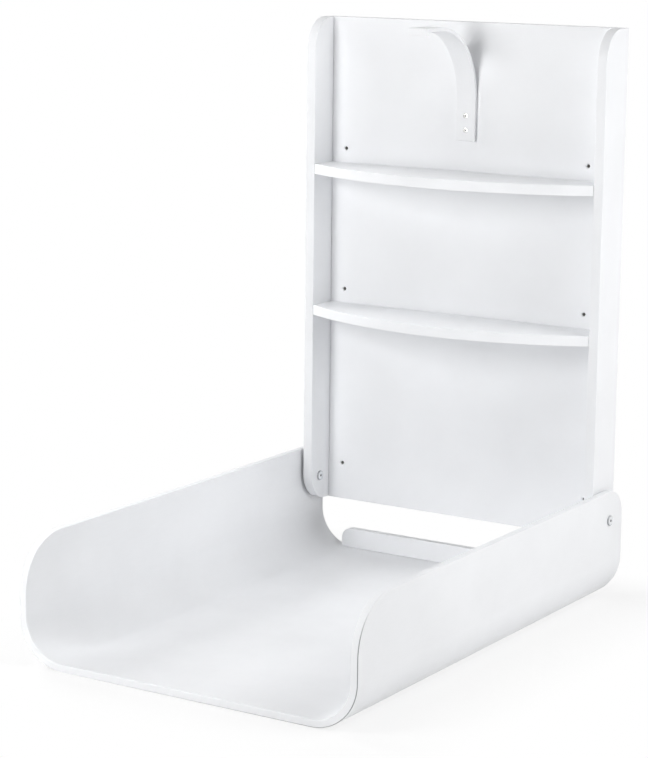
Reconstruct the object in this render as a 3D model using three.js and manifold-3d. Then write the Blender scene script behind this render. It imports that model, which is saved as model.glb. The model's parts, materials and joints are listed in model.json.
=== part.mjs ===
// Wall-hung fold-down changing station: a shallow shelf unit that is screwed to a wall, a tray of bent
// plywood that swings down in front of it on two pivots, and a springy bent catch that holds the tray shut.
// Millimetres. +X is to the right of someone who faces the unit, +Y goes into the wall and +Z is up.
// The origin is the middle of the back panel's rear face. The tray is modelled open, level with the floor.

import * as THREE from "three";
import { mergeVertices } from "three/addons/utils/BufferGeometryUtils.js";
import Module from "manifold-3d";

const wasm = await Module();
wasm.setup();

// Driving sizes of the tray
const TRAY_WIDTH = 600;
const TRAY_REACH = 839; // from the wall to the front edge of the open tray
const TRAY_WALL_HEIGHT = 194;
const TRAY_PLY = 12;
const TRAY_BEND_RADIUS = 77; // on the outside of the bend
const TRAY_FRONT_CORNER_RADIUS = 83;
const LIP_BOARD = 12;
const LIP_HEIGHT = 35;
const LIP_END_INSET = 60;
const LIP_CORNER_RADIUS = 19;

// Driving sizes of the shelf unit
const SIDE_BOARD = 17;
const SIDE_DEPTH = 77;
const SIDE_CORNER_RADIUS = 50;
const PANEL_BOARD = 20;
const SHELF_BOARD = 17;
const SHELF_BOW = 70; // how far a shelf's front edge swells past its ends
const SHELF_SPACING = 245;
const SHELF_BELOW_CATCH = 51.5; // from the top of the upper shelf to the foot of the catch
const EASED_EDGE = 0.8; // small chamfer along the edges of sawn boards

// Pivots
const PIVOT_FROM_WALL = 50;
const PIVOT_ABOVE_BACK_FOOT = 43.5;
const PIVOT_HEAD_RADIUS = 8.5;
const PIVOT_HEAD_HEIGHT = 2.6;
const SLEEVE_RADIUS = 5;
const SLEEVE_END_INSET = 1;
const BOLT_RADIUS = 3;
const BOLT_LENGTH = 22;
const SPACER_RADIUS = 12;
const SPACER_THICKNESS = 5;
const PIVOT_SOCKET_RADIUS = 2.9;
const PIVOT_SOCKET_DEPTH = 1.8;
const SHUT_ANGLE = 90.8; // the shut tray leans back just past upright

// Catch
const CATCH_WIDTH = 36;
const CATCH_PLY = 6;
const CATCH_BEND_RADIUS = 116; // on the hollow side of the bend
const CATCH_FOOT_LENGTH = 71;
const CATCH_BELOW_TOP = 4;
const CATCH_HOOK_DROP = 6;
const CATCH_HOOK_THICKNESS = 4.5;
const CATCH_SCREW_HEIGHTS = [18, 42]; // above the foot of the catch

// Fixings
const DOWEL_RADIUS = 4;
const DOWEL_LENGTH = 30;
const DOWEL_IN_SIDE = 10;
const DOWEL_CHAMFER = 0.8;
const PANEL_DOWEL_END_INSET = 110;
const SHELF_DOWEL_SETBACKS = [15, 43]; // behind the front edges of the sides
const LIP_DOWEL_RADIUS = 3;
const LIP_DOWEL_LENGTH = 16;
const LIP_DOWEL_IN_FLOOR = 6;
const LIP_DOWEL_SPACING = 170;
const SCREW_RADIUS = 1.9;
const SCREW_HEAD_RADIUS = 3.9;
const SCREW_LENGTH = 21;
const SCREW_SOCKET_RADIUS = 1.5;
const SCREW_SOCKET_DEPTH = 1.2;
const WALL_HOLE_RADIUS = 2.8;
const WALL_COUNTERSINK_RADIUS = 4.6;
const WALL_HOLE_ABOVE_SHELF = 24;
const WALL_HOLE_ABOVE_FOOT = 64;
const WALL_HOLE_INSET = 28; // from a side's inner face to the hole
const WALL_HOLE_INSET_UPPER_RIGHT = 39;

// Clearances
const JOINT_GAP = 0.3; // glue line or seat between two fixed pieces
const RUNNING_GAP = 0.35; // on each face of a spacer and under a bolt head
const WALL_CLEARANCE = 1.5; // between the turning tray and the wall
const CATCH_CLEARANCE = 0.5; // over the front edge of the shut tray
const HOOK_CLEARANCE = 0.5; // in front of the outer face of the shut tray
const BLIND_HOLE_SPARE = 0.5;

// Smoothness of round forms
const BEND_STEPS = 12;
const CORNER_STEPS = 8;
const BOW_STEPS = 14;
const HOLE_STEPS = 20;
const TURNED_STEPS = 24;
const CUT_MARGIN = 2; // how far a cutter stands proud of the face that it enters

// Places worked out from the driving sizes
const PIVOT_ROUNDING = PIVOT_FROM_WALL - WALL_CLEARANCE;
const PIVOT_TO_FRONT = TRAY_REACH - PIVOT_FROM_WALL;
const PIVOT_TO_UNDERSIDE = TRAY_WALL_HEIGHT - PIVOT_ROUNDING;
const PIVOT_TO_FLOOR = PIVOT_TO_UNDERSIDE - TRAY_PLY;
const SHUT_LEAN = (SHUT_ANGLE - 90) * Math.PI / 180;
const SHUT_FACE_Y = PIVOT_TO_FRONT * Math.sin(SHUT_LEAN) - PIVOT_TO_UNDERSIDE * Math.cos(SHUT_LEAN);
const SHUT_EDGE_Z = PIVOT_TO_FRONT * Math.cos(SHUT_LEAN) + PIVOT_TO_UNDERSIDE * Math.sin(SHUT_LEAN);
const CATCH_ABOVE_PIVOT = SHUT_EDGE_Z + CATCH_CLEARANCE;
const BACK_HEIGHT = PIVOT_ABOVE_BACK_FOOT + CATCH_ABOVE_PIVOT + CATCH_PLY + CATCH_BELOW_TOP;
const BACK_FOOT = -BACK_HEIGHT / 2;
const PIVOT_Y = -PIVOT_FROM_WALL;
const PIVOT_Z = BACK_FOOT + PIVOT_ABOVE_BACK_FOOT;
const TRAY_HALF = TRAY_WIDTH / 2;
const TRAY_INNER_HALF = TRAY_HALF - TRAY_PLY;
const BACK_HALF = TRAY_INNER_HALF - SPACER_THICKNESS - 2 * RUNNING_GAP;
const BAY_HALF = BACK_HALF - SIDE_BOARD;
const PANEL_HALF = BAY_HALF - JOINT_GAP;
const CATCH_UNDERSIDE_Z = PIVOT_Z + CATCH_ABOVE_PIVOT;
const CATCH_BACK_Y = -PANEL_BOARD - JOINT_GAP;
const CATCH_FRONT_Y = CATCH_BACK_Y - CATCH_PLY;
const CATCH_CENTRE_Y = CATCH_FRONT_Y - CATCH_BEND_RADIUS;
const CATCH_CENTRE_Z = CATCH_UNDERSIDE_Z - CATCH_BEND_RADIUS;
const CATCH_FOOT_Z = CATCH_CENTRE_Z - CATCH_FOOT_LENGTH;
const HOOK_BACK_Y = PIVOT_Y + SHUT_FACE_Y - HOOK_CLEARANCE;
const CATCH_TIP_Y = HOOK_BACK_Y - CATCH_HOOK_THICKNESS;
const UPPER_SHELF_Z = CATCH_FOOT_Z - SHELF_BELOW_CATCH - SHELF_BOARD;
const LOWER_SHELF_Z = UPPER_SHELF_Z - SHELF_SPACING;

// Finishes
const WHITE_BOARD = { color: 0xeceded, roughness: 0.5, metalness: 0 };
const WHITE_BENT_PLY = { color: 0xe9eaea, roughness: 0.45, metalness: 0 };
const BEECH = { color: 0xd9b98c, roughness: 0.75, metalness: 0 };
const ZINC_STEEL = { color: 0xb9bcc0, roughness: 0.3, metalness: 1 };
const NICKEL_STEEL = { color: 0xdfe0e1, roughness: 0.25, metalness: 1 };
const NYLON = { color: 0xe4e4e0, roughness: 0.55, metalness: 0 };

// A profile drawn across the unit runs along X, one seen from the front runs along Y
const ACROSS = new THREE.Matrix4().makeBasis(
  new THREE.Vector3(0, 1, 0),
  new THREE.Vector3(0, 0, 1),
  new THREE.Vector3(1, 0, 0),
);
const FROM_FRONT = new THREE.Matrix4().makeBasis(
  new THREE.Vector3(1, 0, 0),
  new THREE.Vector3(0, 0, 1),
  new THREE.Vector3(0, -1, 0),
);

// Turns a closed geometry into a solid that can be joined and cut
function solidOf(geometry) {
  const bare = geometry.clone();
  bare.deleteAttribute("normal");
  bare.deleteAttribute("uv");
  const merged = mergeVertices(bare);
  return new wasm.Manifold(new wasm.Mesh({
    numProp: 3,
    vertProperties: new Float32Array(merged.attributes.position.array),
    triVerts: new Uint32Array(merged.index.array),
  }));
}

function geometryOf(solid) {
  const mesh = solid.getMesh();
  const geometry = new THREE.BufferGeometry();
  geometry.setAttribute("position", new THREE.BufferAttribute(mesh.vertProperties, 3));
  geometry.setIndex(new THREE.BufferAttribute(mesh.triVerts, 1));
  geometry.computeVertexNormals();
  return geometry;
}

// Cuts every cutter geometry out of a body geometry
function cut(body, cutters) {
  const solid = cutters.reduce((rest, cutter) => rest.subtract(solidOf(cutter)), solidOf(body));
  return geometryOf(solid);
}

function piece(name, geometry, finish) {
  const mesh = new THREE.Mesh(geometry, new THREE.MeshStandardMaterial(finish));
  mesh.name = name;
  return mesh;
}

// An outline with a small chamfer on both faces, as thick as asked
function easedBoard(outline, thickness, steps) {
  const geometry = new THREE.ExtrudeGeometry(outline, {
    depth: thickness - 2 * EASED_EDGE,
    curveSegments: steps,
    bevelEnabled: true,
    bevelThickness: EASED_EDGE,
    bevelSize: EASED_EDGE,
    bevelOffset: -EASED_EDGE,
    bevelSegments: 1,
  });
  return geometry.translate(0, 0, EASED_EDGE);
}

function plainExtrusion(outline, depth, steps) {
  return new THREE.ExtrudeGeometry(outline, { depth, curveSegments: steps, bevelEnabled: false });
}

// A round cutter or rod along X, between two places on that axis
function rodAlongX(radius, fromX, toX, y, z) {
  const rod = new THREE.CylinderGeometry(radius, radius, Math.abs(toX - fromX), HOLE_STEPS);
  rod.rotateZ(Math.PI / 2);
  return rod.translate((fromX + toX) / 2, y, z);
}

function rodAlongY(radius, fromY, toY, x, z) {
  const rod = new THREE.CylinderGeometry(radius, radius, Math.abs(toY - fromY), HOLE_STEPS);
  return rod.translate(x, (fromY + toY) / 2, z);
}

function rodAlongZ(radius, fromZ, toZ, x, y) {
  const rod = new THREE.CylinderGeometry(radius, radius, Math.abs(toZ - fromZ), HOLE_STEPS);
  rod.rotateX(Math.PI / 2);
  return rod.translate(x, y, (fromZ + toZ) / 2);
}

// A turned form along its own Y axis, from a profile of [radius, height] corners
function turned(corners) {
  const points = corners.map(([radius, height]) => new THREE.Vector2(radius, height));
  return new THREE.LatheGeometry(points, TURNED_STEPS);
}

function hexSocket(radius, bottom, top) {
  const socket = new THREE.CylinderGeometry(radius, radius, top - bottom, 6);
  return socket.translate(0, (bottom + top) / 2, 0);
}

// A wooden dowel with chamfered ends, standing on its own Y axis
function dowelGeometry(radius, length) {
  return turned([
    [0, 0],
    [radius - DOWEL_CHAMFER, 0],
    [radius, DOWEL_CHAMFER],
    [radius, length - DOWEL_CHAMFER],
    [radius - DOWEL_CHAMFER, length],
    [0, length],
  ]);
}

// Places that the two sides, the panel and the shelves share
const DOWEL_HOLE_RADIUS = DOWEL_RADIUS + JOINT_GAP;
const PANEL_DOWEL_Y = -PANEL_BOARD / 2;
const PANEL_DOWEL_HEIGHTS = {
  lower: BACK_FOOT + PANEL_DOWEL_END_INSET,
  middle: 0,
  upper: -BACK_FOOT - PANEL_DOWEL_END_INSET,
};
const SHELVES = { upper: UPPER_SHELF_Z, lower: LOWER_SHELF_Z };
const HANDS = { left: -1, right: 1 };

function shelfDowelPlaces(shelfZ) {
  return SHELF_DOWEL_SETBACKS.map((setback) => ({ y: -SIDE_DEPTH + setback, z: shelfZ + SHELF_BOARD / 2 }));
}

// Every blind dowel hole on the inner face of a side
function sideDowelPlaces() {
  const panel = Object.values(PANEL_DOWEL_HEIGHTS).map((z) => ({ y: PANEL_DOWEL_Y, z }));
  const shelves = Object.values(SHELVES).flatMap(shelfDowelPlaces);
  return panel.concat(shelves);
}

// Back panel, with six countersunk holes for the wall screws
function backPanel() {
  const board = new THREE.BoxGeometry(2 * PANEL_HALF, PANEL_BOARD, BACK_HEIGHT);
  board.translate(0, -PANEL_BOARD / 2, 0);
  const cutters = [];
  const rows = [
    { z: UPPER_SHELF_Z + SHELF_BOARD + WALL_HOLE_ABOVE_SHELF, rightInset: WALL_HOLE_INSET_UPPER_RIGHT },
    { z: LOWER_SHELF_Z + SHELF_BOARD + WALL_HOLE_ABOVE_SHELF, rightInset: WALL_HOLE_INSET_UPPER_RIGHT },
    { z: BACK_FOOT + WALL_HOLE_ABOVE_FOOT, rightInset: WALL_HOLE_INSET },
  ];
  for (const row of rows) {
    cutters.push(wallHole(-BAY_HALF + WALL_HOLE_INSET, row.z));
    cutters.push(wallHole(BAY_HALF - row.rightInset, row.z));
  }
  for (const hand of Object.values(HANDS)) {
    const bottom = hand * (PANEL_HALF - (DOWEL_LENGTH - DOWEL_IN_SIDE) - BLIND_HOLE_SPARE);
    for (const z of Object.values(PANEL_DOWEL_HEIGHTS)) {
      cutters.push(rodAlongX(DOWEL_HOLE_RADIUS, bottom, hand * (PANEL_HALF + CUT_MARGIN), PANEL_DOWEL_Y, z));
    }
  }
  const pilotEnd = CATCH_FRONT_Y + SCREW_LENGTH + BLIND_HOLE_SPARE;
  const pilotMouth = -PANEL_BOARD - CUT_MARGIN;
  for (const height of CATCH_SCREW_HEIGHTS) {
    cutters.push(rodAlongY(SCREW_RADIUS + JOINT_GAP, pilotEnd, pilotMouth, 0, CATCH_FOOT_Z + height));
  }
  return piece("back_panel", cut(board, cutters), WHITE_BOARD);
}

// A through hole with a cone at the front face of the panel
function wallHole(x, z) {
  const coneDepth = WALL_COUNTERSINK_RADIUS - WALL_HOLE_RADIUS;
  const hole = turned([
    [0, -CUT_MARGIN],
    [WALL_HOLE_RADIUS, -CUT_MARGIN],
    [WALL_HOLE_RADIUS, PANEL_BOARD - coneDepth],
    [WALL_COUNTERSINK_RADIUS, PANEL_BOARD],
    [WALL_COUNTERSINK_RADIUS, PANEL_BOARD + CUT_MARGIN],
    [0, PANEL_BOARD + CUT_MARGIN],
  ]);
  hole.rotateX(Math.PI);
  return hole.translate(x, 0, z);
}

// Side board: rounded at both front corners, drilled for its dowels and for the pivot
function sideBoard(name, hand) {
  const outline = new THREE.Shape();
  const front = -SIDE_DEPTH;
  const round = SIDE_CORNER_RADIUS;
  outline.moveTo(0, BACK_FOOT);
  outline.lineTo(0, -BACK_FOOT);
  outline.absarc(front + round, -BACK_FOOT - round, round, Math.PI / 2, Math.PI, false);
  outline.absarc(front + round, BACK_FOOT + round, round, Math.PI, 1.5 * Math.PI, false);
  outline.closePath();
  const board = easedBoard(outline, SIDE_BOARD, CORNER_STEPS).applyMatrix4(ACROSS);
  board.translate(hand > 0 ? BAY_HALF : -BACK_HALF, 0, 0);
  const holeEnd = hand * (BAY_HALF + DOWEL_IN_SIDE + BLIND_HOLE_SPARE);
  const cutters = sideDowelPlaces().map(({ y, z }) => (
    rodAlongX(DOWEL_HOLE_RADIUS, hand * (BAY_HALF - CUT_MARGIN), holeEnd, y, z)
  ));
  cutters.push(rodAlongX(
    SLEEVE_RADIUS + JOINT_GAP,
    hand * (BAY_HALF - CUT_MARGIN),
    hand * (BACK_HALF + CUT_MARGIN),
    PIVOT_Y,
    PIVOT_Z,
  ));
  return piece(name, cut(board, cutters), WHITE_BOARD);
}

// Shelf: straight at the back and swelling forward in one flat arc between the sides
function shelf(name, shelfZ) {
  const half = BAY_HALF - JOINT_GAP;
  const arcRadius = (half * half + SHELF_BOW * SHELF_BOW) / (2 * SHELF_BOW);
  const arcCentre = -SIDE_DEPTH - SHELF_BOW + arcRadius;
  const halfAngle = Math.asin(half / arcRadius);
  const back = -PANEL_BOARD - JOINT_GAP;
  const outline = new THREE.Shape();
  outline.moveTo(half, back);
  outline.lineTo(-half, back);
  outline.absarc(0, arcCentre, arcRadius, 1.5 * Math.PI - halfAngle, 1.5 * Math.PI + halfAngle, false);
  outline.closePath();
  const board = easedBoard(outline, SHELF_BOARD, BOW_STEPS).translate(0, 0, shelfZ);
  const holeDepth = DOWEL_LENGTH - DOWEL_IN_SIDE + BLIND_HOLE_SPARE;
  const cutters = Object.values(HANDS).flatMap((hand) => shelfDowelPlaces(shelfZ).map(({ y, z }) => (
    rodAlongX(DOWEL_HOLE_RADIUS, hand * (half - holeDepth), hand * (half + CUT_MARGIN), y, z)
  )));
  return piece(name, cut(board, cutters), WHITE_BOARD);
}

// Dowel that joins a side to the end of a panel or shelf
function sideDowel(name, hand, y, z) {
  const geometry = dowelGeometry(DOWEL_RADIUS, DOWEL_LENGTH);
  geometry.rotateZ(hand * Math.PI / 2);
  geometry.translate(hand * (BAY_HALF + DOWEL_IN_SIDE), y, z);
  return piece(name, geometry, BEECH);
}

function sideDowels(handName, hand) {
  const dowels = Object.entries(PANEL_DOWEL_HEIGHTS).map(([level, z]) => (
    sideDowel(`panel_dowel_${handName}_${level}`, hand, PANEL_DOWEL_Y, z)
  ));
  for (const [level, shelfZ] of Object.entries(SHELVES)) {
    const [front, rear] = shelfDowelPlaces(shelfZ);
    dowels.push(sideDowel(`${level}_shelf_dowel_${handName}_front`, hand, front.y, front.z));
    dowels.push(sideDowel(`${level}_shelf_dowel_${handName}_rear`, hand, rear.y, rear.z));
  }
  return dowels;
}

function shelfUnit() {
  const unit = new THREE.Group();
  unit.add(backPanel());
  unit.add(shelf("upper_shelf", UPPER_SHELF_Z));
  unit.add(shelf("lower_shelf", LOWER_SHELF_Z));
  for (const [handName, hand] of Object.entries(HANDS)) {
    unit.add(sideBoard(`${handName}_side`, hand));
    unit.add(...sideDowels(handName, hand));
  }
  return unit;
}

// Flat lower end of the catch, screwed to the panel
function catchFoot() {
  const length = CATCH_FOOT_LENGTH - JOINT_GAP;
  const plate = new THREE.BoxGeometry(CATCH_WIDTH, CATCH_PLY, length);
  plate.translate(0, CATCH_BACK_Y - CATCH_PLY / 2, CATCH_FOOT_Z + length / 2);
  const cutters = CATCH_SCREW_HEIGHTS.map((height) => screwHole(CATCH_FOOT_Z + height));
  return piece("catch_foot", cut(plate, cutters), WHITE_BENT_PLY);
}

// Clearance hole and countersink for one catch screw
function screwHole(z) {
  const shank = SCREW_RADIUS + JOINT_GAP;
  const head = SCREW_HEAD_RADIUS + JOINT_GAP;
  const hole = turned([
    [0, -CATCH_PLY - CUT_MARGIN],
    [shank, -CATCH_PLY - CUT_MARGIN],
    [shank, shank - head - JOINT_GAP],
    [head, -JOINT_GAP],
    [head, CUT_MARGIN],
    [0, CUT_MARGIN],
  ]);
  hole.rotateX(Math.PI);
  return hole.translate(0, CATCH_FRONT_Y, z);
}

// Countersunk screw, its head level with the face of the catch
function catchScrew(name, z) {
  const blank = turned([
    [0, -SCREW_LENGTH],
    [SCREW_RADIUS, SCREW_RADIUS - SCREW_LENGTH],
    [SCREW_RADIUS, SCREW_RADIUS - SCREW_HEAD_RADIUS],
    [SCREW_HEAD_RADIUS, 0],
    [0, 0],
  ]);
  const geometry = cut(blank, [hexSocket(SCREW_SOCKET_RADIUS, -SCREW_SOCKET_DEPTH, CUT_MARGIN)]);
  geometry.rotateX(Math.PI);
  geometry.translate(0, CATCH_FRONT_Y, z);
  return piece(name, geometry, NICKEL_STEEL);
}

// Springy part of the catch: a quarter bend that ends in a level tongue over the shut tray
function catchTongue() {
  const inner = CATCH_BEND_RADIUS;
  const outer = CATCH_BEND_RADIUS + CATCH_PLY;
  const outline = new THREE.Shape();
  outline.moveTo(CATCH_TIP_Y, CATCH_UNDERSIDE_Z + CATCH_PLY);
  outline.lineTo(CATCH_TIP_Y, CATCH_UNDERSIDE_Z);
  outline.absarc(CATCH_CENTRE_Y, CATCH_CENTRE_Z, inner, Math.PI / 2, 0, true);
  outline.absarc(CATCH_CENTRE_Y, CATCH_CENTRE_Z, outer, 0, Math.PI / 2, false);
  outline.closePath();
  const geometry = plainExtrusion(outline, CATCH_WIDTH, BEND_STEPS).applyMatrix4(ACROSS);
  return piece("catch_tongue", geometry.translate(-CATCH_WIDTH / 2, 0, 0), WHITE_BENT_PLY);
}

// Block under the tip that hooks over the front edge of the shut tray
function catchHook() {
  const height = CATCH_HOOK_DROP - JOINT_GAP;
  const block = new THREE.BoxGeometry(CATCH_WIDTH, CATCH_HOOK_THICKNESS, height);
  block.translate(0, HOOK_BACK_Y - CATCH_HOOK_THICKNESS / 2, CATCH_UNDERSIDE_Z - JOINT_GAP - height / 2);
  return piece("catch_hook", block, WHITE_BENT_PLY);
}

function springCatch() {
  const [lower, upper] = CATCH_SCREW_HEIGHTS;
  const assembly = new THREE.Group();
  assembly.add(catchFoot(), catchTongue(), catchHook());
  assembly.add(catchScrew("catch_screw_lower", CATCH_FOOT_Z + lower));
  assembly.add(catchScrew("catch_screw_upper", CATCH_FOOT_Z + upper));
  return assembly;
}

// Places inside the tray, measured from the pivot axis
const BEND_CENTRE_X = TRAY_HALF - TRAY_BEND_RADIUS;
const BEND_CENTRE_Z = -PIVOT_TO_UNDERSIDE + TRAY_BEND_RADIUS;
const INNER_BEND_RADIUS = TRAY_BEND_RADIUS - TRAY_PLY;
const LIP_FRONT_Y = PIVOT_ROUNDING - LIP_BOARD;
const LIP_DOWEL_PLACES = { left: -LIP_DOWEL_SPACING, middle: 0, right: LIP_DOWEL_SPACING };

// Section across the tray: floor and two walls in one bent sheet
function traySection() {
  const section = new THREE.Shape();
  section.moveTo(-TRAY_INNER_HALF, PIVOT_ROUNDING);
  section.lineTo(-TRAY_HALF, PIVOT_ROUNDING);
  section.absarc(-BEND_CENTRE_X, BEND_CENTRE_Z, TRAY_BEND_RADIUS, Math.PI, 1.5 * Math.PI, false);
  section.absarc(BEND_CENTRE_X, BEND_CENTRE_Z, TRAY_BEND_RADIUS, 1.5 * Math.PI, 2 * Math.PI, false);
  section.lineTo(TRAY_HALF, PIVOT_ROUNDING);
  section.lineTo(TRAY_INNER_HALF, PIVOT_ROUNDING);
  section.absarc(BEND_CENTRE_X, BEND_CENTRE_Z, INNER_BEND_RADIUS, 2 * Math.PI, 1.5 * Math.PI, true);
  section.absarc(-BEND_CENTRE_X, BEND_CENTRE_Z, INNER_BEND_RADIUS, 1.5 * Math.PI, Math.PI, true);
  section.closePath();
  return section;
}

// Outline of a tray wall from the side: swept front corner, rear corner struck from the pivot
function trayWallOutline() {
  const round = TRAY_FRONT_CORNER_RADIUS;
  const outline = new THREE.Shape();
  outline.moveTo(-PIVOT_TO_FRONT, -PIVOT_TO_UNDERSIDE - CUT_MARGIN);
  outline.lineTo(PIVOT_ROUNDING, -PIVOT_TO_UNDERSIDE - CUT_MARGIN);
  outline.absarc(0, 0, PIVOT_ROUNDING, 0, Math.PI / 2, false);
  outline.absarc(-PIVOT_TO_FRONT + round, PIVOT_ROUNDING - round, round, Math.PI / 2, Math.PI, false);
  outline.closePath();
  return outline;
}

function trayShell() {
  const sheet = plainExtrusion(traySection(), PIVOT_TO_FRONT + PIVOT_ROUNDING + 2 * CUT_MARGIN, BEND_STEPS);
  sheet.applyMatrix4(FROM_FRONT).translate(0, PIVOT_ROUNDING + CUT_MARGIN, 0);
  const trim = plainExtrusion(trayWallOutline(), TRAY_WIDTH + 2 * CUT_MARGIN, CORNER_STEPS);
  trim.applyMatrix4(ACROSS).translate(-TRAY_HALF - CUT_MARGIN, 0, 0);
  const trimmed = geometryOf(solidOf(sheet).intersect(solidOf(trim)));
  const bore = rodAlongX(SLEEVE_RADIUS + JOINT_GAP, -TRAY_HALF - CUT_MARGIN, TRAY_HALF + CUT_MARGIN, 0, 0);
  const cutters = Object.values(LIP_DOWEL_PLACES).map((x) => rodAlongZ(
    LIP_DOWEL_RADIUS + JOINT_GAP,
    -PIVOT_TO_FLOOR - LIP_DOWEL_IN_FLOOR - BLIND_HOLE_SPARE,
    -PIVOT_TO_FLOOR + CUT_MARGIN,
    x,
    LIP_FRONT_Y + LIP_BOARD / 2,
  ));
  return piece("tray_shell", cut(trimmed, [bore, ...cutters]), WHITE_BENT_PLY);
}

// Low board across the rear of the tray floor, scribed to the bends at both ends
function rearLip() {
  const foot = -PIVOT_TO_FLOOR + JOINT_GAP;
  const top = -PIVOT_TO_FLOOR + LIP_HEIGHT;
  const half = TRAY_HALF - LIP_END_INSET;
  const scribe = INNER_BEND_RADIUS - JOINT_GAP;
  const reach = Math.asin((half - BEND_CENTRE_X) / scribe);
  const round = LIP_CORNER_RADIUS;
  const down = 1.5 * Math.PI;
  const outline = new THREE.Shape();
  outline.absarc(BEND_CENTRE_X, BEND_CENTRE_Z, scribe, down, down + reach, false);
  outline.absarc(half - round, top - round, round, 0, Math.PI / 2, false);
  outline.absarc(-half + round, top - round, round, Math.PI / 2, Math.PI, false);
  outline.absarc(-BEND_CENTRE_X, BEND_CENTRE_Z, scribe, down - reach, down, false);
  const board = plainExtrusion(outline, LIP_BOARD, CORNER_STEPS).applyMatrix4(FROM_FRONT);
  board.translate(0, PIVOT_ROUNDING, 0);
  const holeTop = foot + LIP_DOWEL_LENGTH - LIP_DOWEL_IN_FLOOR + BLIND_HOLE_SPARE;
  const cutters = Object.values(LIP_DOWEL_PLACES).map((x) => rodAlongZ(
    LIP_DOWEL_RADIUS + JOINT_GAP,
    foot - CUT_MARGIN,
    holeTop,
    x,
    LIP_FRONT_Y + LIP_BOARD / 2,
  ));
  return piece("rear_lip", cut(board, cutters), WHITE_BOARD);
}

function lipDowel(name, x) {
  const geometry = dowelGeometry(LIP_DOWEL_RADIUS, LIP_DOWEL_LENGTH);
  geometry.rotateX(Math.PI / 2);
  geometry.translate(x, LIP_FRONT_Y + LIP_BOARD / 2, -PIVOT_TO_FLOOR - LIP_DOWEL_IN_FLOOR);
  return piece(name, geometry, BEECH);
}

// The tray hangs in a group whose origin is on the pivot axis
function tray() {
  const hanging = new THREE.Group();
  hanging.position.set(0, PIVOT_Y, PIVOT_Z);
  hanging.add(trayShell(), rearLip());
  for (const [place, x] of Object.entries(LIP_DOWEL_PLACES)) {
    hanging.add(lipDowel(`lip_dowel_${place}`, x));
  }
  return hanging;
}

// Pivot pieces are turned along their own Y axis, which then points out of the unit
const SLEEVE_HEAD_FACE = BAY_HALF - JOINT_GAP - PIVOT_HEAD_HEIGHT;
const SLEEVE_END = TRAY_HALF - SLEEVE_END_INSET;
const BOLT_SEAT = TRAY_HALF + RUNNING_GAP;

// Flanged sleeve nut: its head lies on the inner face of the side, its shank carries the tray wall
function pivotSleeve() {
  const seat = SLEEVE_HEAD_FACE + PIVOT_HEAD_HEIGHT;
  const rim = PIVOT_HEAD_RADIUS - PIVOT_HEAD_HEIGHT / 2;
  const boreEnd = BOLT_SEAT - BOLT_LENGTH - BLIND_HOLE_SPARE;
  const blank = turned([
    [0, SLEEVE_HEAD_FACE],
    [rim, SLEEVE_HEAD_FACE],
    [PIVOT_HEAD_RADIUS, SLEEVE_HEAD_FACE + PIVOT_HEAD_HEIGHT / 2],
    [PIVOT_HEAD_RADIUS, seat],
    [SLEEVE_RADIUS, seat],
    [SLEEVE_RADIUS, SLEEVE_END],
    [BOLT_RADIUS + JOINT_GAP, SLEEVE_END],
    [BOLT_RADIUS + JOINT_GAP, boreEnd],
    [0, boreEnd],
  ]);
  const socketTop = SLEEVE_HEAD_FACE + PIVOT_SOCKET_DEPTH;
  return cut(blank, [hexSocket(PIVOT_SOCKET_RADIUS, SLEEVE_HEAD_FACE - CUT_MARGIN, socketTop)]);
}

// Bolt from the outside of the tray wall into the sleeve
function pivotBolt() {
  const face = BOLT_SEAT + PIVOT_HEAD_HEIGHT;
  const rim = PIVOT_HEAD_RADIUS - PIVOT_HEAD_HEIGHT / 2;
  const blank = turned([
    [0, BOLT_SEAT - BOLT_LENGTH],
    [BOLT_RADIUS, BOLT_SEAT - BOLT_LENGTH],
    [BOLT_RADIUS, BOLT_SEAT],
    [PIVOT_HEAD_RADIUS, BOLT_SEAT],
    [PIVOT_HEAD_RADIUS, face - PIVOT_HEAD_HEIGHT / 2],
    [rim, face],
    [0, face],
  ]);
  return cut(blank, [hexSocket(PIVOT_SOCKET_RADIUS, face - PIVOT_SOCKET_DEPTH, face + CUT_MARGIN)]);
}

// Ring that keeps the tray wall off the side
function pivotSpacer() {
  const inner = SLEEVE_RADIUS + JOINT_GAP;
  const bottom = BACK_HALF + RUNNING_GAP;
  const top = bottom + SPACER_THICKNESS;
  return turned([
    [inner, bottom],
    [SPACER_RADIUS, bottom],
    [SPACER_RADIUS, top],
    [inner, top],
    [inner, bottom],
  ]);
}

function pivot(handName, hand) {
  const set = new THREE.Group();
  set.position.set(0, PIVOT_Y, PIVOT_Z);
  set.rotation.z = -hand * Math.PI / 2;
  set.add(piece(`pivot_sleeve_${handName}`, pivotSleeve(), ZINC_STEEL));
  set.add(piece(`pivot_bolt_${handName}`, pivotBolt(), ZINC_STEEL));
  set.add(piece(`pivot_spacer_${handName}`, pivotSpacer(), NYLON));
  return set;
}

const station = new THREE.Group();
station.add(shelfUnit(), springCatch(), tray());
for (const [handName, hand] of Object.entries(HANDS)) {
  station.add(pivot(handName, hand));
}

export default station;
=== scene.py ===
"""Looks of the wall-hung changing station: white boards, a bent tray and a sprung catch, in a white studio."""
import json
import math

import bmesh
import bpy
import numpy as np
from mathutils import Matrix, Vector


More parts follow.
